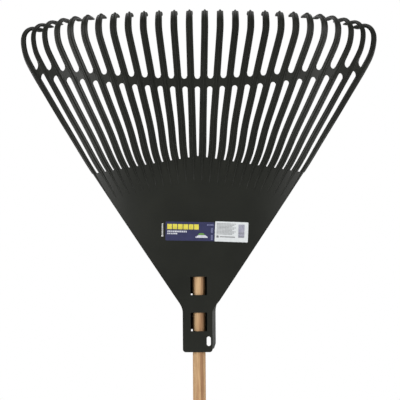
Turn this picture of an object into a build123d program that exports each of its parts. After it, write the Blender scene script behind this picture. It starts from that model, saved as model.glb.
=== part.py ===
from build123d import *
import math
import os

# Leaf rake: a moulded polypropylene head with 26 hooked tines on a round wooden handle.
# Frame: origin at the centre of the handle's butt end, +Z along the handle towards the tines,
# +X to the right, and the labelled front face towards -Y, so that the tines hook towards +Y.

# ---- wooden handle ----
HANDLE_LENGTH = 1067.0
HANDLE_DIAMETER = 22.0
HANDLE_INSERT = 137.0            # length held inside the socket
BUTT_ROUNDING = 4.0
SEAT_CUT = 0.2                   # the end in the socket is turned down by this all round
SEAT_EXPOSED = 4.0               # how much of that turned end shows below the mouth
HANDLE_TIP_CHAMFER = 2.5
TIP_CLEARANCE = 2.0              # between the handle's end and the socket's cap

# ---- socket ----
WALL = 3.0                       # moulded wall of the socket and the plate
BORE_GAP = 3.0                   # between the handle and each side wall
SIDE_WALL = 2.2
SIDE_ROOM = 12.2                 # from a side wall to the outside of the socket
LEAN_LEFT = 1.0                  # how far each side skirt leans outwards, front to back
LEAN_RIGHT = 5.4
SOCKET_HEIGHT = 88.0             # from the mouth to the joint with the plate
MOUTH_CORNER_RADIUS = 5.0
SKIRT_END_RISE = 13.0            # the skirts' lower ends rise this much towards the back
WINDOW_BOTTOMS = (35.4, 96.7)    # above the mouth
WINDOW_HEIGHTS = (31.6, 31.2)
BRIDGE_DROP = 4.0                # the back bridges start this far below the windows
NOTCH_RISE = 0.6                 # top of the notch in each bridge, above its window's lower edge
GUSSET_TOP = 215.0               # where the two rear gussets run out on the plate
GUSSET_TIP_HEIGHT = 2.0
HANG_SLOT_SIZE = (6.8, 16.5)
HANG_SLOT_INSET = 2.2            # from the handle's side to the slot
HANG_SLOT_HEIGHT = 18.4          # slot centre above the mouth
SIDE_WALL_START = 29.0           # the side walls start above the slot

# ---- plate ----
SHOULDER_START = 66.8            # above the mouth, where the outline starts to flare
SHOULDER_RADIUS = 32.0
EDGE_ANGLE = 33.75               # of the plate's straight edge from the handle's line
RIM_DEPTH = 9.0                  # rim along the plate's edges, front to back
RIM_SHALLOW_FROM = 150.0
PLATE_LEVELS = 17
PLATE_LEVEL_BIAS = 1.3           # above 1 puts more levels near the shoulder
FACE_POINTS = 9                  # points across each level's face
ROOT_SHARE = 0.571               # of the tines' height, where the middle slot starts
ROOT_FALL = 0.16                 # how much lower the slots start, per mm from the middle

# ---- the curved face that the plate and the tines follow ----
APEX_HEIGHT = 22.0               # above the mouth, where the tines' lines meet
CURL_DEPTH = 80.0                # set-back of the face at CURL_X and CURL_H above the apex
CURL_X = 302.0
CURL_H = 520.0
CURL_POWER = 4.5

# ---- tines ----
TINES = 26
SLOPE_STEP = 0.0495              # sideways run per mm of height, from one tine to the next
SLOPE_GROWTH = 0.019
TOP_HEIGHT = 583.0               # above the mouth
TOP_DROP = 12.0                  # how much lower the outermost tines end
TOP_DROP_POWER = 1.5
BEND_LENGTH = 15.0               # where a tine turns parallel to the handle
BEND_GROWTH = 34.0               # how much longer that bend is in the outermost tines
ROOT_SLOT = 2.4                  # slot width at the plate
BEND_WIDTH_OF_TINE = 12.0
HOOK_WIDTH_OF_TINE = 10.4
SHANK_WIDTH_OF_TIP = 9.4
TIP_WIDTH_OF_TINE = 6.8
EDGE_TINE_EXTRA = 1.8            # the outermost tines are wider at their bends
EDGE_ROOT_CUT = 3.0              # and narrower at the plate
TINE_THICKNESS = 3.2
EDGE_TINE_THICKNESS = 4.4
TIP_THINNING = 0.4
TIP_THICKNESS = 2.0
TINE_CHAMFER = 0.7
RIDGE_HEIGHT = 2.4
RIDGE_FOOT = 2.6                 # half width where the ridge meets the bar
RIDGE_CREST = 0.7
RIDGE_TAIL = 42.0                # how far a ridge runs down over the plate
TAIL_OVERLAP = 0.15              # share of the tail that lies on the tine's own bar
TAIL_LIFT = 0.05                 # clearance under that tail
HOOK_RADIUS = 24.0               # of the outer face
HOOK_ANGLE = 94.0
HOOK_STEPS = 6
HOOK_STRAIGHT = 19.0
TIP_LENGTH = 3.0

# ---- cross band ----
BAND_SHARE = 0.784               # of the tines' height, where the band's middle lies
BAND_RISE = 20.8                 # at BAND_REF_X from the middle
BAND_REF_X = 270.0
BAND_DEPTH = 13.0                # along the tines, between two slot ends
BAND_GROWTH = 3.0                # how much deeper the band is for each unit of slope
BAND_THICKNESS = 2.8
WEB_REACH = 2.5                  # how far a bridge starts inside its two tines
SLOT_END_EASE = 0.94             # slot end radius over half the slot's width

# ---- labels and screw ----
LABEL_THICKNESS = 0.3
LABEL_CORNER = 1.5
LABEL_LEVELS = (150.0, 170.0, 190.0, 210.0, 230.0, 250.0)
BRAND_PANEL = (83.0, 32.0, -14.1, 205.0, -1.3)    # width, height, centre x, centre height, tilt
BARCODE_PANEL = (56.4, 34.0, 56.3, 203.6, -2.4)
SCREW_DIAMETER = 4.0
SCREW_LENGTH = 16.0
SCREW_HEAD = (8.4, 2.6)          # diameter, height
SCREW_HEAD_EDGE = 1.5
SCREW_CLEARANCE = 0.4
RECESS = (4.6, 1.1, 1.5)         # cross recess: length, width, depth

# ---- sizes that follow from those above ----
MOUTH_Z = HANDLE_LENGTH - HANDLE_INSERT
APEX_Z = MOUTH_Z + APEX_HEIGHT
FRONT_Y = -HANDLE_DIAMETER / 2 - WALL
BACK_Y = HANDLE_DIAMETER / 2 + WALL
SOCKET_DEPTH = BACK_Y - FRONT_Y
ROOT_HEIGHT = ROOT_SHARE * TOP_HEIGHT
BAND_HEIGHT = BAND_SHARE * TOP_HEIGHT
BORE_WIDTH = HANDLE_DIAMETER + 2 * BORE_GAP
SIDE_HALF_WIDTH = BORE_WIDTH / 2 + SIDE_WALL + SIDE_ROOM
TOWER_HEIGHT = HANDLE_INSERT + TIP_CLEARANCE + WALL
HANG_SLOT_CENTRE = (HANDLE_DIAMETER / 2 + HANG_SLOT_INSET + HANG_SLOT_SIZE[0] / 2, HANG_SLOT_HEIGHT)
SCREW_HEIGHT = WINDOW_BOTTOMS[0] + (WINDOW_HEIGHTS[0] - BRIDGE_DROP) / 2
SHANK_LENGTH = MOUTH_Z - SEAT_EXPOSED - BUTT_ROUNDING
SHOULDER_LEVELS = (SHOULDER_START, 70.0, 73.0, 76.0, 79.0, 82.0, 85.0, SOCKET_HEIGHT)
FAR = 400.0                      # larger than any piece that is cut


def set_back(x, h):
    """How far the face lies behind its middle, at x and at h above the apex."""
    return CURL_DEPTH * (abs(x) / CURL_X) ** CURL_POWER * CURL_H / h


def face_y(x, z):
    return FRONT_Y + set_back(x, z - APEX_Z)


def face_normal(x, h):
    """Unit vector across the face, towards the back."""
    steepness = CURL_POWER * CURL_DEPTH / CURL_X * (abs(x) / CURL_X) ** (CURL_POWER - 1) * CURL_H / h
    return Vector(-math.copysign(steepness, x), 1, set_back(x, h) / h).normalized()


def half_width(height):
    """Half width of the head's outline at a height above the mouth."""
    turn = math.radians(EDGE_ANGLE)
    arc_end = SHOULDER_START + SHOULDER_RADIUS * math.sin(turn)
    if height <= SHOULDER_START:
        return SIDE_HALF_WIDTH
    if height <= arc_end:
        rise = height - SHOULDER_START
        return SIDE_HALF_WIDTH + SHOULDER_RADIUS - math.sqrt(SHOULDER_RADIUS**2 - rise**2)
    start = SIDE_HALF_WIDTH + SHOULDER_RADIUS * (1 - math.cos(turn))
    return start + (height - arc_end) * math.tan(turn)


def blend(value, low, high):
    """0 below low, 1 above high, a smooth step between."""
    t = min(max((value - low) / (high - low), 0.0), 1.0)
    return t * t * (3 - 2 * t)


# ---------------------------------------------------------------- tines
def place_of(number):
    """-12.5 for tine 1, +12.5 for tine 26."""
    return number - (TINES + 1) / 2


def spread_of(number):
    return abs(place_of(number)) / place_of(TINES)


def slope_of(number):
    place = place_of(number)
    return SLOPE_STEP * place * (1 + SLOPE_GROWTH * spread_of(number) ** 2)


def root_of(slope):
    """Height above the apex at which a line from the apex crosses the slot roots."""
    return (ROOT_HEIGHT - APEX_HEIGHT) / (1 + ROOT_FALL * abs(slope))


def root_width(number):
    """What is left of the tine's pitch beside one slot, square to the tine."""
    slope = slope_of(number)
    step = SLOPE_STEP * (1 + 3 * SLOPE_GROWTH * spread_of(number) ** 2)
    cut = EDGE_ROOT_CUT if number in (1, TINES) else 0.0
    return step * root_of(slope) * math.cos(math.atan(slope)) - ROOT_SLOT - cut


def bar_section(point, tangent, normal, width, thickness, ridge):
    """Cross-section of a tine: a chamfered flat bar with a ridge on its front."""
    side = tangent.cross(normal).normalized()
    half = width / 2
    cut = min(TINE_CHAMFER, thickness / 3)
    foot = min(RIDGE_FOOT, half - cut - 0.2)
    outline = Polyline(
        (half - cut, 0),
        (foot, 0),
        (RIDGE_CREST, ridge),
        (-RIDGE_CREST, ridge),
        (-foot, 0),
        (cut - half, 0),
        (-half, -cut),
        (-half, cut - thickness),
        (cut - half, -thickness),
        (half - cut, -thickness),
        (half, cut - thickness),
        (half, -cut),
        close=True,
    )
    return Plane(origin=point, x_dir=side, z_dir=tangent) * make_face(outline)


def fan_point(slope, h):
    """Place, direction and face normal of a tine's line at h above the apex."""
    x = slope * h
    depth = set_back(x, h)
    direction = Vector(slope, (CURL_POWER - 1) * depth / h, 1).normalized()
    return Vector(x, FRONT_Y + depth, APEX_Z + h), direction, face_normal(x, h)


def edge_extra(number):
    return EDGE_TINE_EXTRA if number in (1, TINES) else 0.0


def thickness_of(number):
    return EDGE_TINE_THICKNESS if number in (1, TINES) else TINE_THICKNESS


def top_of(number):
    return TOP_HEIGHT - TOP_DROP * spread_of(number) ** TOP_DROP_POWER


def bend_of(number):
    """Length of a tine's bend and its start above the apex; it ends where the hook begins."""
    length = BEND_LENGTH + BEND_GROWTH * spread_of(number) ** 2
    return length, top_of(number) - HOOK_RADIUS - length - APEX_HEIGHT


def band_of(slope):
    """Height of the cross band's middle above the apex, on a line of this slope."""
    return BAND_HEIGHT - APEX_HEIGHT + BAND_RISE * (slope * CURL_H / BAND_REF_X) ** 2


def width_at(number, h):
    """Width of a tine at h above the apex, up to its bend."""
    root = root_of(slope_of(number))
    start = bend_of(number)[1]
    share = min(max((h - root) / (start - root), 0.0), 1.0)
    narrow = root_width(number)
    return narrow + (BEND_WIDTH_OF_TINE + edge_extra(number) - narrow) * share


def straight_sections(number):
    """From just inside the plate to the start of the bend."""
    slope = slope_of(number)
    root = root_of(slope)
    start = bend_of(number)[1]
    sections = []
    for share in (-0.08, 0.0, 0.25, 0.5, 0.75, 1.0):
        h = root + (start - root) * share
        place = fan_point(slope, h)
        sections.append(bar_section(*place, width_at(number, h), thickness_of(number), RIDGE_HEIGHT))
    return sections


def bend_sections(number):
    """The bend, after which a tine runs parallel to the handle; also returns its end."""
    slope = slope_of(number)
    length, begin = bend_of(number)
    start, direction, normal = fan_point(slope, begin)
    lean = direction.Y / direction.Z
    width = BEND_WIDTH_OF_TINE + edge_extra(number)
    sections = []
    for share in (1 / 3, 2 / 3, 1.0):
        run = length * share
        fade = 1 - share / 2
        point = start + Vector(slope * run * fade, lean * run * fade, run)
        heading = Vector(slope * (1 - share), lean * (1 - share), 1).normalized()
        sections.append(bar_section(point, heading, normal, width, thickness_of(number), RIDGE_HEIGHT))
    return sections, point, normal


def hook_sections(number, foot, normal):
    """The round hook and its straight tip, curling away from the labelled face."""
    thick = thickness_of(number)
    extra = edge_extra(number)
    up = Vector(0, 0, 1)
    inward = Vector(normal.X, normal.Y, 0).normalized()
    centre = foot + inward * HOOK_RADIUS
    sections = []
    for step in range(1, HOOK_STEPS + 1):
        share = step / HOOK_STEPS
        angle = math.radians(HOOK_ANGLE * share)
        out = up * math.sin(angle) - inward * math.cos(angle)
        heading = up * math.cos(angle) + inward * math.sin(angle)
        width = BEND_WIDTH_OF_TINE + (HOOK_WIDTH_OF_TINE - BEND_WIDTH_OF_TINE) * share + extra
        place = centre + out * HOOK_RADIUS
        sections.append(bar_section(place, heading, out * -1, width, thick, RIDGE_HEIGHT))
    shank = place + heading * (HOOK_STRAIGHT - TIP_LENGTH)
    tip = place + heading * HOOK_STRAIGHT
    sections.append(
        bar_section(shank, heading, out * -1, SHANK_WIDTH_OF_TIP, thick - TIP_THINNING, RIDGE_HEIGHT * 0.75)
    )
    sections.append(
        bar_section(tip, heading, out * -1, TIP_WIDTH_OF_TINE, TIP_THICKNESS, RIDGE_HEIGHT / 4)
    )
    return sections


def above_roots():
    """Everything above the two straight lines on which the slots start."""
    peak = MOUTH_Z + ROOT_HEIGHT
    side = peak - ROOT_FALL * FAR
    lid = peak + FAR
    outline = Polyline((-FAR, side), (0, peak), (FAR, side), (FAR, lid), (-FAR, lid), close=True)
    return extrude(Plane.XZ * make_face(outline), FAR, both=True)


def ridge_tail(number):
    """The lower end of a tine's ridge, running out on the plate's face."""
    slope = slope_of(number)
    root = root_of(slope)
    faces = []
    ends = ((-TAIL_OVERLAP, RIDGE_FOOT, RIDGE_HEIGHT), (1.0, RIDGE_CREST, TAIL_LIFT * 2))
    for share, foot, high in ends:
        point, direction, normal = fan_point(slope, root - RIDGE_TAIL * share)
        side = direction.cross(normal).normalized()
        crest = min(RIDGE_CREST, foot / 2)
        corners = ((foot, TAIL_LIFT), (crest, high), (-crest, high), (-foot, TAIL_LIFT))
        outline = Polyline(*corners, close=True)
        faces.append(Plane(origin=point, x_dir=side, z_dir=direction) * make_face(outline))
    return loft(faces, ruled=True)


def tine(number, keep):
    bend, foot, normal = bend_sections(number)
    sections = straight_sections(number) + bend + hook_sections(number, foot, normal)
    return (loft(sections) & keep) + ridge_tail(number)


# ---------------------------------------------------------------- plate
def across(half, count=FACE_POINTS):
    """Evenly spaced places from -half to half."""
    return [half * (2 * i / (count - 1) - 1) for i in range(count)]


def skin_section(height):
    """Level cross-section of the plate, with its rims turned back at both edges."""
    z = MOUTH_Z + height
    edge = half_width(height)
    inner = edge - WALL
    corner = face_y(edge, z)
    heel = corner + rim_at(height)
    front = Spline([(x, face_y(x, z), z) for x in across(edge)])
    back = Spline([(-x, face_y(x, z) + WALL, z) for x in across(inner)])
    right = Polyline((edge, corner, z), (edge, heel, z), (inner, heel, z), back @ 0)
    left = Polyline(back @ 1, (-inner, heel, z), (-edge, heel, z), (-edge, corner, z))
    return make_face(Wire([front, *right.edges(), back, *left.edges()]))


def rim_at(height):
    return SOCKET_DEPTH + (RIM_DEPTH - SOCKET_DEPTH) * blend(height, SOCKET_HEIGHT, RIM_SHALLOW_FROM)


def window(number):
    low = MOUTH_Z + WINDOW_BOTTOMS[number]
    tall = WINDOW_HEIGHTS[number]
    return Pos(0, FRONT_Y, low + tall / 2) * Box(BORE_WIDTH, 3 * WALL, tall)


def fan_plate(keep_above):
    rise = ROOT_HEIGHT + WALL - SOCKET_HEIGHT
    steps = [(i / PLATE_LEVELS) ** PLATE_LEVEL_BIAS for i in range(PLATE_LEVELS + 1)]
    plate = loft([skin_section(SOCKET_HEIGHT + rise * step) for step in steps], ruled=True)
    return plate - keep_above - window(1)


# ---------------------------------------------------------------- cross band
def web(number, tines):
    """The bridge between a tine and the next, with a round slot end above and below."""
    slope = (slope_of(number) + slope_of(number + 1)) / 2
    h = band_of(slope)
    point, direction, normal = fan_point(slope, h)
    pitch = (slope_of(number + 1) - slope_of(number)) * h * math.cos(math.atan(slope))
    pitch /= math.cos(math.atan2(abs(normal.X), normal.Y))
    left = width_at(number, h)
    right = width_at(number + 1, h)
    gap = pitch - (left + right) / 2
    shift = (left - right) / 4
    reach = gap / 2 + WEB_REACH
    radius = gap / 2 * SLOT_END_EASE
    tall = (BAND_DEPTH + BAND_GROWTH * abs(slope)) / 2
    plane = Plane(origin=point, x_dir=direction.cross(normal).normalized(), z_dir=normal)
    sheet = plane * Pos(-shift, 0, 0) * extrude(Rectangle(2 * reach, 2 * (tall + radius)), BAND_THICKNESS)
    for end in (-1, 1):
        place = Pos(-shift, end * (tall + radius), 0)
        sheet -= plane * place * extrude(Circle(radius), 4 * WALL, both=True)
    bridge = sheet - tines[number] - tines[number + 1]
    return max(bridge.solids(), key=lambda solid: solid.volume)


# ---------------------------------------------------------------- socket
def lean_at(lean, height):
    """A skirt's lean fades out where the socket widens into the plate."""
    return lean * (1 - blend(height, SHOULDER_START, SOCKET_HEIGHT))


def skirt(side, lean):
    """One side skirt of the socket, leaning outwards towards the back."""
    faces = []
    for height in (0.0, *SHOULDER_LEVELS):
        far = half_width(height)
        near = far - lean_at(lean, height)
        corners = ((near - WALL, FRONT_Y), (near, FRONT_Y), (far, BACK_Y), (far - WALL, BACK_Y))
        faces.append(Pos(0, 0, MOUTH_Z + height) * make_face(Polyline(*corners, close=True)))
    piece = loft(faces, ruled=True)
    start = FRONT_Y + WALL
    end = BACK_Y + WALL
    below = MOUTH_Z - WALL
    corners = ((start, MOUTH_Z), (end, MOUTH_Z + SKIRT_END_RISE), (end, below), (start, below))
    piece -= extrude(Plane.YZ * make_face(Polyline(*corners, close=True)), FAR, both=True)
    return piece if side > 0 else mirror(piece, Plane.YZ)


def front_wall():
    """The flat face between the two skirts, up to the joint with the plate."""
    right = []
    left = []
    for height in (0.0, *SHOULDER_LEVELS):
        middle = half_width(height) - WALL / 2
        right.append((middle - lean_at(LEAN_RIGHT, height), MOUTH_Z + height))
        left.append((lean_at(LEAN_LEFT, height) - middle, MOUTH_Z + height))
    outline = Polyline(*right, *reversed(left), close=True)
    return Pos(0, FRONT_Y, 0) * extrude(Plane.XZ * make_face(outline), -WALL)


def corner_cutter(side, lean):
    """What rounds a lower corner of the socket."""
    radius = MOUTH_CORNER_RADIUS
    x = side * (SIDE_HALF_WIDTH - lean)
    block = Pos(x, 0, 0) * Box(2 * radius, 2 * SOCKET_DEPTH, 2 * radius)
    bar = Pos(x - side * radius, 0, radius) * Rot(90, 0, 0) * Cylinder(radius, 2 * SOCKET_DEPTH)
    return Pos(0, FRONT_Y, MOUTH_Z) * (block - bar)


def side_walls():
    """Two walls beside the handle; behind the plate they run out as gussets."""
    inner = FRONT_Y + WALL
    low = MOUTH_Z + SIDE_WALL_START
    high = MOUTH_Z + GUSSET_TOP
    outline = Polyline(
        (inner, low),
        (inner, high),
        (inner + GUSSET_TIP_HEIGHT, high),
        (BACK_Y, MOUTH_Z + TOWER_HEIGHT),
        (BACK_Y, low),
        close=True,
    )
    wall = extrude(Plane.YZ * make_face(outline), SIDE_WALL)
    return Pos(BORE_WIDTH / 2, 0, 0) * wall + Pos(-BORE_WIDTH / 2 - SIDE_WALL, 0, 0) * wall


def back_bridge(number):
    """Closes the socket behind a window; a notch stays open beside the handle."""
    low = MOUTH_Z + WINDOW_BOTTOMS[number] - BRIDGE_DROP
    tall = WINDOW_HEIGHTS[number] + BRIDGE_DROP
    bridge = Pos(0, BACK_Y - WALL / 2, low + tall / 2) * Box(BORE_WIDTH, WALL, tall)
    notch = BRIDGE_DROP + NOTCH_RISE
    place = Pos((BORE_GAP - BORE_WIDTH) / 2, BACK_Y, low + notch / 2)
    return bridge - place * Box(BORE_GAP, 3 * WALL, notch)


def cap():
    """Closes the socket's upper end, above the handle's tip."""
    depth = SOCKET_DEPTH - WALL
    return Pos(0, BACK_Y - depth / 2, MOUTH_Z + TOWER_HEIGHT - WALL / 2) * Box(BORE_WIDTH, depth, WALL)


def handle_socket():
    shell = front_wall() + skirt(1, LEAN_RIGHT) + skirt(-1, LEAN_LEFT)
    shell -= corner_cutter(1, LEAN_RIGHT) + corner_cutter(-1, LEAN_LEFT)
    x, height = HANG_SLOT_CENTRE
    width, length = HANG_SLOT_SIZE
    slot = Plane.XZ * (Pos(x, MOUTH_Z + height) * SlotOverall(length, width, rotation=90))
    shell -= Pos(0, FRONT_Y, 0) * extrude(slot, 2 * WALL, both=True)
    tower = side_walls() + back_bridge(0) + back_bridge(1) + cap()
    hole = Pos(0, BACK_Y, MOUTH_Z + SCREW_HEIGHT) * Rot(90, 0, 0)
    hole *= Cylinder((SCREW_DIAMETER + SCREW_CLEARANCE) / 2, 3 * WALL)
    return shell + tower - window(0) - hole


# ---------------------------------------------------------------- handle, screw, labels
def wooden_handle():
    shoulder = MOUTH_Z - SEAT_EXPOSED
    seat = HANDLE_LENGTH - shoulder
    rod = Pos(0, 0, shoulder / 2) * Cylinder(HANDLE_DIAMETER / 2, shoulder)
    rod = fillet(rod.edges().group_by(Axis.Z)[0], BUTT_ROUNDING)
    rod += Pos(0, 0, shoulder + seat / 2) * Cylinder(HANDLE_DIAMETER / 2 - SEAT_CUT, seat)
    rod = chamfer(rod.edges().group_by(Axis.Z)[-1], HANDLE_TIP_CHAMFER)
    reach = SCREW_LENGTH - WALL
    pilot = Pos(0, HANDLE_DIAMETER / 2 - reach / 2, MOUTH_Z + SCREW_HEIGHT) * Rot(90, 0, 0)
    return rod - pilot * Cylinder(SCREW_DIAMETER / 2, reach)


def handle_screw():
    diameter, height = SCREW_HEAD
    shank = Pos(0, 0, -SCREW_LENGTH / 2) * Cylinder(SCREW_DIAMETER / 2, SCREW_LENGTH)
    head = Pos(0, 0, height / 2) * Cylinder(diameter / 2, height)
    head = fillet(head.edges().group_by(Axis.Z)[-1], SCREW_HEAD_EDGE)
    screw = shank + head
    length, width, depth = RECESS
    for turn in (0, 90):
        screw -= Pos(0, 0, height - depth / 2) * Rot(0, 0, turn) * Box(length, width, depth)
    return Pos(0, BACK_Y, MOUTH_Z + SCREW_HEIGHT) * Rot(-90, 0, 0) * screw


def skin_strip(height):
    """Level section of a layer on the plate's face, as thick as a label."""
    z = MOUTH_Z + height
    places = across(half_width(height))
    near = Spline([(x, face_y(x, z) - LABEL_THICKNESS, z) for x in places])
    rear = Spline([(-x, face_y(x, z), z) for x in places])
    return make_face(Wire([near, Line(near @ 1, rear @ 0), rear, Line(rear @ 1, near @ 0)]))


def label(width, height, centre_x, centre_height, tilt):
    """A thin sticker that follows the plate's face."""
    skin = loft([skin_strip(level) for level in LABEL_LEVELS])
    blank = Pos(centre_x, MOUTH_Z + centre_height) * Rot(0, 0, tilt)
    blank = Plane.XZ * (blank * RectangleRounded(width, height, LABEL_CORNER))
    return skin & extrude(blank, 2 * WALL - FRONT_Y, both=True)


def build():
    keep = above_roots()
    tines = {n: tine(n, keep) for n in range(1, TINES + 1)}
    pieces = {f"tine_{n:02d}": piece for n, piece in tines.items()}
    pieces["cross_band"] = Compound(children=[web(n, tines) for n in range(1, TINES)])
    pieces["fan_plate"] = fan_plate(keep)
    pieces["handle_socket"] = handle_socket()
    pieces["wooden_handle"] = wooden_handle()
    pieces["handle_screw"] = handle_screw()
    pieces["front_label"] = label(*BRAND_PANEL)
    pieces["barcode_label"] = label(*BARCODE_PANEL)
    return pieces


os.makedirs("parts", exist_ok=True)
for name, piece in build().items():
    export_step(piece, f"parts/{name}.step")
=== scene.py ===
import math

import bpy
from mathutils import Euler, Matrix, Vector
from mathutils.bvhtree import BVHTree


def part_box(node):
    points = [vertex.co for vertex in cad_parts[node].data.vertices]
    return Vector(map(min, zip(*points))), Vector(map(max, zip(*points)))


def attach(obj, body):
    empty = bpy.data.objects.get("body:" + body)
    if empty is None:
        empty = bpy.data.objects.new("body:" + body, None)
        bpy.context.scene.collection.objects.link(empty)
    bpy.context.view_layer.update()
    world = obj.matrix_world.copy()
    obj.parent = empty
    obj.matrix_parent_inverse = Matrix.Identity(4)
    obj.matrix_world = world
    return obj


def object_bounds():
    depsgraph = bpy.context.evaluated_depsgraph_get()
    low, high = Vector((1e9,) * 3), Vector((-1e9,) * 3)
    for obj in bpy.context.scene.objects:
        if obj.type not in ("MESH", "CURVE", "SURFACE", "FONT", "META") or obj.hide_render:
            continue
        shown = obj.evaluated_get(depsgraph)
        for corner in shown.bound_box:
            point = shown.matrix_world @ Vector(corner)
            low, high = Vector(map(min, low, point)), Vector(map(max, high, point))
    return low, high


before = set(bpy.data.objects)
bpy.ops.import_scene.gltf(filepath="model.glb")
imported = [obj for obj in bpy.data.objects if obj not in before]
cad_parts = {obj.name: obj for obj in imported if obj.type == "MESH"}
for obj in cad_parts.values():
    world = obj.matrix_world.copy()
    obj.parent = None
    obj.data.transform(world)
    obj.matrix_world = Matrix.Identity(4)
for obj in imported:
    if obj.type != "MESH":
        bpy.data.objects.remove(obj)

MM = 0.001
cad_low, cad_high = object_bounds()

MOUTH_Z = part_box("handle_socket")[0].z      # the socket's lower end, where the handle goes in
FLOOR_HALF = 3.0                 # metres
FLOOR_GAP = 0.5 * MM             # below the handle's butt


# ---------------------------------------------------------------- camera and lights
CAMERA_DISTANCE = 1.8
CAMERA_AZIMUTH = math.radians(1.0)
CAMERA_ELEVATION = math.radians(0.0)
CAMERA_ROLL = math.radians(0.362)
SCALE = 1.708 * MM               # metres across one of the 400 columns, at the handle's distance
IMAGE_COLUMNS = 400
AIM = Vector((2.99 * MM, 0.0, MOUTH_Z + 258 * MM))


def make_camera():
    data = bpy.data.cameras.new("camera")
    data.sensor_width = 36.0
    data.lens = data.sensor_width * CAMERA_DISTANCE / (SCALE * IMAGE_COLUMNS)
    data.clip_start = 0.05
    data.clip_end = 50.0
    camera = bpy.data.objects.new("camera", data)
    bpy.context.scene.collection.objects.link(camera)
    away = Vector((
        math.sin(CAMERA_AZIMUTH) * math.cos(CAMERA_ELEVATION),
        -math.cos(CAMERA_AZIMUTH) * math.cos(CAMERA_ELEVATION),
        math.sin(CAMERA_ELEVATION),
    ))
    camera.location = AIM + away * CAMERA_DISTANCE
    camera.rotation_mode = "QUATERNION"
    aim = (-away).to_track_quat("-Z", "Y")
    camera.rotation_quaternion = aim @ Euler((0, 0, -CAMERA_ROLL)).to_quaternion()
    bpy.context.scene.camera = camera


def area_light(name, place, size, power):
    data = bpy.data.lights.new(name, "AREA")
    data.shape = "RECTANGLE"
    data.size, data.size_y = size
    data.energy = power
    light = bpy.data.objects.new(name, data)
    light.location = place
    light.rotation_mode = "QUATERNION"
    light.rotation_quaternion = (AIM - light.location).to_track_quat("-Z", "Y")
    bpy.context.scene.collection.objects.link(light)


def make_world():
    world = bpy.data.worlds.new("studio")
    world.use_nodes = True
    tree = world.node_tree
    tree.nodes.clear()
    shown = tree.nodes.new("ShaderNodeBackground")
    shown.inputs["Color"].default_value = (1, 1, 1, 1)
    shown.inputs["Strength"].default_value = 1.0
    lighting = tree.nodes.new("ShaderNodeBackground")
    lighting.inputs["Color"].default_value = (1.0, 0.99, 0.97, 1)
    lighting.inputs["Strength"].default_value = 0.24
    rays = tree.nodes.new("ShaderNodeLightPath")
    mix = tree.nodes.new("ShaderNodeMixShader")
    output = tree.nodes.new("ShaderNodeOutputWorld")
    tree.links.new(rays.outputs["Is Camera Ray"], mix.inputs["Fac"])
    tree.links.new(lighting.outputs[0], mix.inputs[1])
    tree.links.new(shown.outputs[0], mix.inputs[2])
    tree.links.new(mix.outputs[0], output.inputs["Surface"])
    scene = bpy.context.scene
    scene.world = world
    scene.view_settings.view_transform = "Standard"


def make_lights():
    area_light("left_softbox", AIM + Vector((-1.5, -1.3, 0.2)), (1.0, 1.4), 31.0)
    area_light("right_softbox", AIM + Vector((1.5, -1.3, 0.1)), (1.0, 1.4), 25.0)
    area_light("rear_left_softbox", AIM + Vector((-1.5, 1.5, 0.5)), (1.0, 1.4), 20.0)
    area_light("rear_right_softbox", AIM + Vector((1.5, 1.5, 0.4)), (1.0, 1.4), 18.0)
    area_light("overhead_softbox", AIM + Vector((0.0, 0.1, 2.4)), (3.0, 3.0), 45.0)


def new_object(name, corners, faces, material):
    mesh = bpy.data.meshes.new(name)
    mesh.from_pydata(corners, [], faces)
    mesh.materials.append(material)
    thing = bpy.data.objects.new(name, mesh)
    bpy.context.scene.collection.objects.link(thing)
    return thing


def make_floor(material):
    level = cad_low.z - FLOOR_GAP
    turns = ((-1, -1), (1, -1), (1, 1), (-1, 1))
    corners = [(x * FLOOR_HALF, y * FLOOR_HALF, level) for x, y in turns]
    new_object("floor", corners, [(0, 1, 2, 3)], material)


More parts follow.
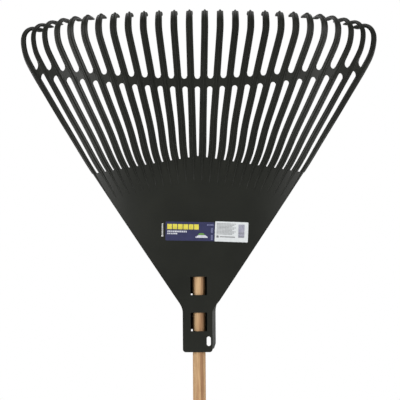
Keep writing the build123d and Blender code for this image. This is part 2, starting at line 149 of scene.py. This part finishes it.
# ---------------------------------------------------------------- materials
class Nodes:
    """Short hand for building one material's nodes."""

    def __init__(self, name):
        self.material = bpy.data.materials.new(name)
        self.material.use_nodes = True
        self.tree = self.material.node_tree
        self.shader = self.tree.nodes["Principled BSDF"]

    def add(self, kind, **settings):
        node = self.tree.nodes.new(kind)
        for key, value in settings.items():
            setattr(node, key, value)
        return node

    def link(self, source, target):
        self.tree.links.new(source, target)

    def place(self, scale=(1, 1, 1)):
        coordinates = self.add("ShaderNodeTexCoord")
        mapping = self.add("ShaderNodeMapping")
        mapping.inputs["Scale"].default_value = scale
        self.link(coordinates.outputs["Object"], mapping.inputs["Vector"])
        return mapping.outputs["Vector"]

    def noise(self, vector, scale, detail=4.0, roughness=0.5, distortion=0.0):
        node = self.add("ShaderNodeTexNoise")
        node.inputs["Scale"].default_value = scale
        node.inputs["Detail"].default_value = detail
        node.inputs["Roughness"].default_value = roughness
        node.inputs["Distortion"].default_value = distortion
        self.link(vector, node.inputs["Vector"])
        return node.outputs["Fac"]

    def ramp(self, value, stops):
        node = self.add("ShaderNodeValToRGB")
        elements = node.color_ramp.elements
        while len(elements) < len(stops):
            elements.new(0.5)
        for element, (place, colour) in zip(elements, stops):
            element.position = place
            element.color = (*colour, 1.0)
        self.link(value, node.inputs["Fac"])
        return node.outputs["Color"]

    def remap(self, value, low, high, to_low, to_high):
        node = self.add("ShaderNodeMapRange")
        for key, number in (("From Min", low), ("From Max", high), ("To Min", to_low), ("To Max", to_high)):
            node.inputs[key].default_value = number
        self.link(value, node.inputs["Value"])
        return node.outputs["Result"]

    def mix(self, factor, first, second, mode="MIX"):
        node = self.add("ShaderNodeMix", data_type="RGBA", blend_type=mode)
        self.link(factor, node.inputs[0])
        self.link(first, node.inputs[6])
        self.link(second, node.inputs[7])
        return node.outputs[2]

    def constant(self, number):
        node = self.add("ShaderNodeValue")
        node.outputs["Value"].default_value = number
        return node.outputs["Value"]

    def soft_edges(self, radius):
        node = self.add("ShaderNodeBevel", samples=4)
        node.inputs["Radius"].default_value = radius
        return node.outputs["Normal"]

    def bump(self, height, distance, strength=1.0, under=None):
        node = self.add("ShaderNodeBump")
        node.inputs["Distance"].default_value = distance
        node.inputs["Strength"].default_value = strength
        self.link(height, node.inputs["Height"])
        if under is not None:
            self.link(under, node.inputs["Normal"])
        return node.outputs["Normal"]


def black_plastic():
    """Satin black polypropylene: a fine moulded grain, faint flow clouds, softened edges."""
    n = Nodes("black_plastic")
    place = n.place()
    clouds = n.noise(place, 9.0, 5.0, 0.55, 0.4)
    grain = n.noise(place, 1400.0, 2.0, 0.6)
    colour = n.ramp(clouds, [(0.35, (0.0046, 0.0054, 0.0032)), (0.65, (0.0070, 0.0080, 0.0048))])
    n.link(colour, n.shader.inputs["Base Color"])
    n.link(n.remap(clouds, 0.3, 0.7, 0.44, 0.52), n.shader.inputs["Roughness"])
    n.shader.inputs["Specular IOR Level"].default_value = 0.30
    n.link(n.bump(grain, 0.04 * MM, 1.0, n.soft_edges(0.35 * MM)), n.shader.inputs["Normal"])
    return n.material


def wood():
    """Sanded, unvarnished wood with streaks that run along the handle."""
    n = Nodes("handle_wood")
    broad = n.noise(n.place((1, 1, 0.018)), 210.0, 3.0, 0.55, 0.4)
    fine = n.noise(n.place((1, 1, 0.03)), 900.0, 3.0, 0.6)
    colour = n.ramp(broad, [
        (0.30, (0.27, 0.135, 0.060)),
        (0.44, (0.40, 0.235, 0.118)),
        (0.56, (0.53, 0.345, 0.180)),
        (0.70, (0.50, 0.350, 0.190)),
    ])
    streak = n.ramp(fine, [(0.32, (0.66, 0.57, 0.48)), (0.56, (1, 1, 1))])
    n.link(n.mix(n.constant(0.95), colour, streak, "MULTIPLY"), n.shader.inputs["Base Color"])
    n.shader.inputs["Roughness"].default_value = 0.62
    n.shader.inputs["Specular IOR Level"].default_value = 0.35
    n.link(n.bump(fine, 0.1 * MM), n.shader.inputs["Normal"])
    return n.material


def film(name, dull, fresh, roughness):
    """Printed label film or ink, unevenly inked and a little wavy."""
    n = Nodes(name)
    place = n.place()
    uneven = n.noise(place, 120.0, 4.0, 0.6)
    n.link(n.ramp(uneven, [(0.3, dull), (0.7, fresh)]), n.shader.inputs["Base Color"])
    n.shader.inputs["Roughness"].default_value = roughness
    n.link(n.bump(n.noise(place, 60.0, 2.0), 0.05 * MM), n.shader.inputs["Normal"])
    return n.material


def zinc_steel():
    """Zinc-plated steel of the screw, faintly brushed."""
    n = Nodes("zinc_steel")
    brushed = n.noise(n.place((1, 0.1, 1)), 1800.0, 3.0, 0.6)
    n.link(n.ramp(brushed, [(0.3, (0.42, 0.42, 0.43)), (0.7, (0.62, 0.62, 0.60))]), n.shader.inputs["Base Color"])
    n.link(n.remap(brushed, 0.3, 0.7, 0.28, 0.42), n.shader.inputs["Roughness"])
    n.shader.inputs["Metallic"].default_value = 1.0
    n.link(n.bump(brushed, 0.02 * MM), n.shader.inputs["Normal"])
    return n.material


def pale_floor():
    """Matt, nearly white floor with very faint clouds."""
    n = Nodes("floor_pale")
    n.link(n.ramp(n.noise(n.place(), 3.0), [(0.3, (0.81, 0.81, 0.80)), (0.7, (0.84, 0.84, 0.83))]),
           n.shader.inputs["Base Color"])
    n.shader.inputs["Roughness"].default_value = 0.85
    return n.material


def dress(node, material):
    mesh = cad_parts[node].data
    mesh.materials.clear()
    mesh.materials.append(material)


# ---------------------------------------------------------------- what is printed on the labels
PROUD = 0.30 * MM                # of the label's face
SUNK = 0.05 * MM                 # below it, so that no gap shows
SPAN = 4.0 * MM                  # longest straight stretch of a mark across the curved face
RAY_START = 0.1                  # metres in front of the rake, where the search for its face begins
TEXT_LINES = 9
TEXT_TOP = 14.0                  # of the first small line, in mm above the label's middle
TEXT_PITCH = 2.2
TEXT_HEIGHT = 1.1
DARK_BARS = (0, 1, 4, 5)         # counted from the bottom

BRAND_TILT = -1.3                # degrees, as the labels lie on the plate
CODE_TILT = -2.4


def centre_of(node, tilt):
    """The middle of a label in mm: across, above the mouth, and its tilt in degrees."""
    low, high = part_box(node)
    middle = (low + high) / 2
    return middle.x / MM, (middle.z - MOUTH_Z) / MM, tilt


def face_of(node):
    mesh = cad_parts[node].data
    corners = [v.co.copy() for v in mesh.vertices]
    tree = BVHTree.FromPolygons(corners, [tuple(p.vertices) for p in mesh.polygons])

    def front(x, z):
        hit = tree.ray_cast(Vector((x, cad_low.y - RAY_START, z)), Vector((0, 1, 0)))[0]
        return hit.y if hit else None
    return front


def printed(name, front, centre, marks, material):
    """One piece of raised ink: every mark is left, right, bottom, top in mm from the centre."""
    turn = math.radians(centre[2])
    corners, faces = [], []
    for left, right, bottom, top in marks:
        count = max(1, math.ceil((right - left) * MM / SPAN))
        base = len(corners)
        for i in range(count + 1):
            across = left + (right - left) * i / count
            for up in (bottom, top):
                x = (centre[0] + across * math.cos(turn) - up * math.sin(turn)) * MM
                z = MOUTH_Z + (centre[1] + across * math.sin(turn) + up * math.cos(turn)) * MM
                y = front(x, z)
                if y is None:
                    raise ValueError(name + ": a mark reaches past the face it is printed on")
                corners += [(x, y - PROUD, z), (x, y + SUNK, z)]
        for i in range(count):
            a = base + 4 * i
            b = a + 4
            faces += [(a, b, b + 2, a + 2), (a + 1, a + 3, b + 3, b + 1)]
            faces += [(a, a + 1, b + 1, b), (a + 2, b + 2, b + 3, a + 3)]
        end = base + 4 * count
        faces += [(base, base + 2, base + 3, base + 1), (end, end + 1, end + 3, end + 2)]
    piece = new_object(name, corners, faces, material)
    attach(piece, "root")
    return piece


def row(left, right, bottom, top, count, gap):
    """Plain blocks side by side that stand for a line of print."""
    pitch = (right - left + gap) / count
    return [(left + i * pitch, left + (i + 1) * pitch - gap, bottom, top) for i in range(count)]


def column(left, right, bottom, top, count, gap):
    """Plain blocks one above the other."""
    pitch = (top - bottom + gap) / count
    return [(left, right, bottom + i * pitch, bottom + (i + 1) * pitch - gap) for i in range(count)]


def print_brand_panel():
    front = face_of("front_label")
    brand = centre_of("front_label", BRAND_TILT)
    white = film("ink_white", (0.42, 0.43, 0.50), (0.56, 0.57, 0.62), 0.5)
    faint = film("ink_faint_blue", (0.14, 0.15, 0.28), (0.22, 0.23, 0.38), 0.45)
    heading = row(-38.6, 14.8, 3.2, 12.0, 6, 1.3)
    printed("print_heading", front, brand, heading,
            film("ink_yellow", (0.50, 0.43, 0.040), (0.66, 0.58, 0.075), 0.5))
    lines = row(-38.4, -5.4, -1.9, 0.9, 11, 0.7) + row(-38.4, -21.6, -5.3, -3.1, 6, 0.7)
    printed("print_lines", front, brand, lines, white)
    corner = row(28.8, 39.6, 10.2, 12.4, 5, 0.7)
    sides = column(35.6, 38.8, -1.8, 6.2, 5, 0.8) + column(35.6, 38.8, -13.8, -5.8, 5, 0.8)
    printed("print_side_lines", front, brand, corner + sides, faint)
    hill = [(9.4, 30.2, -10.6, -8.6), (11.6, 28.8, -8.6, -7.2), (14.0, 26.6, -7.2, -6.1)]
    printed("print_sign_base", front, brand, hill, white)
    leaf = [(14.2, 24.8, -5.7, -4.2), (15.8, 23.4, -4.2, -2.8)]
    printed("print_sign_leaf", front, brand, leaf,
            film("ink_green", (0.075, 0.19, 0.030), (0.13, 0.29, 0.055), 0.45))


def print_code_panel():
    front = face_of("barcode_label")
    code = centre_of("barcode_label", CODE_TILT)
    pale = film("ink_pale_grey", (0.19, 0.195, 0.205), (0.28, 0.285, 0.295), 0.5)
    grey = film("ink_grey", (0.11, 0.11, 0.12), (0.17, 0.17, 0.18), 0.5)
    text = []
    for line in range(TEXT_LINES):
        top = TEXT_TOP - TEXT_PITCH * line
        text += row(-25.0, 7.2 - 3.1 * (line % 3), top - TEXT_HEIGHT, top, 12 - line % 3, 0.6)
    printed("print_small_text", front, code, text, pale)
    bottom = row(-19.2, 6.0, -9.6, -8.0, 13, 0.6)
    sign = [(-25.2, -21.6, -10.4, -7.4), (-24.5, -22.3, -7.4, -6.7)]
    printed("print_bottom_line", front, code, bottom + sign, grey)
    bars = column(11.6, 21.8, -9.0, 12.6, 15, 0.6)
    dark = [bar for i, bar in enumerate(bars) if i in DARK_BARS]
    light = [bar for bar in bars if bar not in dark]
    printed("print_bars_light", front, code, light,
            film("ink_violet_grey", (0.145, 0.135, 0.225), (0.20, 0.185, 0.285), 0.5))
    printed("print_bars_dark", front, code, dark,
            film("ink_dark_violet", (0.050, 0.047, 0.085), (0.080, 0.075, 0.125), 0.5))


def print_plate_mark():
    """The small upright line of white print to the left of the label, on the plate itself."""
    brand = centre_of("front_label", BRAND_TILT)
    marks = column(-48.0, -45.6, -6.4, 12.6, 9, 0.7) + [(-48.4, -45.2, -9.4, -7.2)]
    printed("print_upright_mark", face_of("fan_plate"), brand, marks,
            film("ink_plate_white", (0.46, 0.47, 0.46), (0.62, 0.62, 0.60), 0.5))


make_camera()
make_world()
make_lights()
make_floor(pale_floor())

plastic = black_plastic()
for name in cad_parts:
    if name.startswith("tine_") or name in ("cross_band", "fan_plate", "handle_socket"):
        dress(name, plastic)
dress("wooden_handle", wood())
dress("handle_screw", zinc_steel())
dress("front_label", film("label_blue_film", (0.016, 0.018, 0.062), (0.022, 0.024, 0.080), 0.45))
dress("barcode_label", film("label_white_film", (0.54, 0.565, 0.575), (0.61, 0.63, 0.64), 0.45))
print_brand_panel()
print_code_panel()
print_plate_mark()
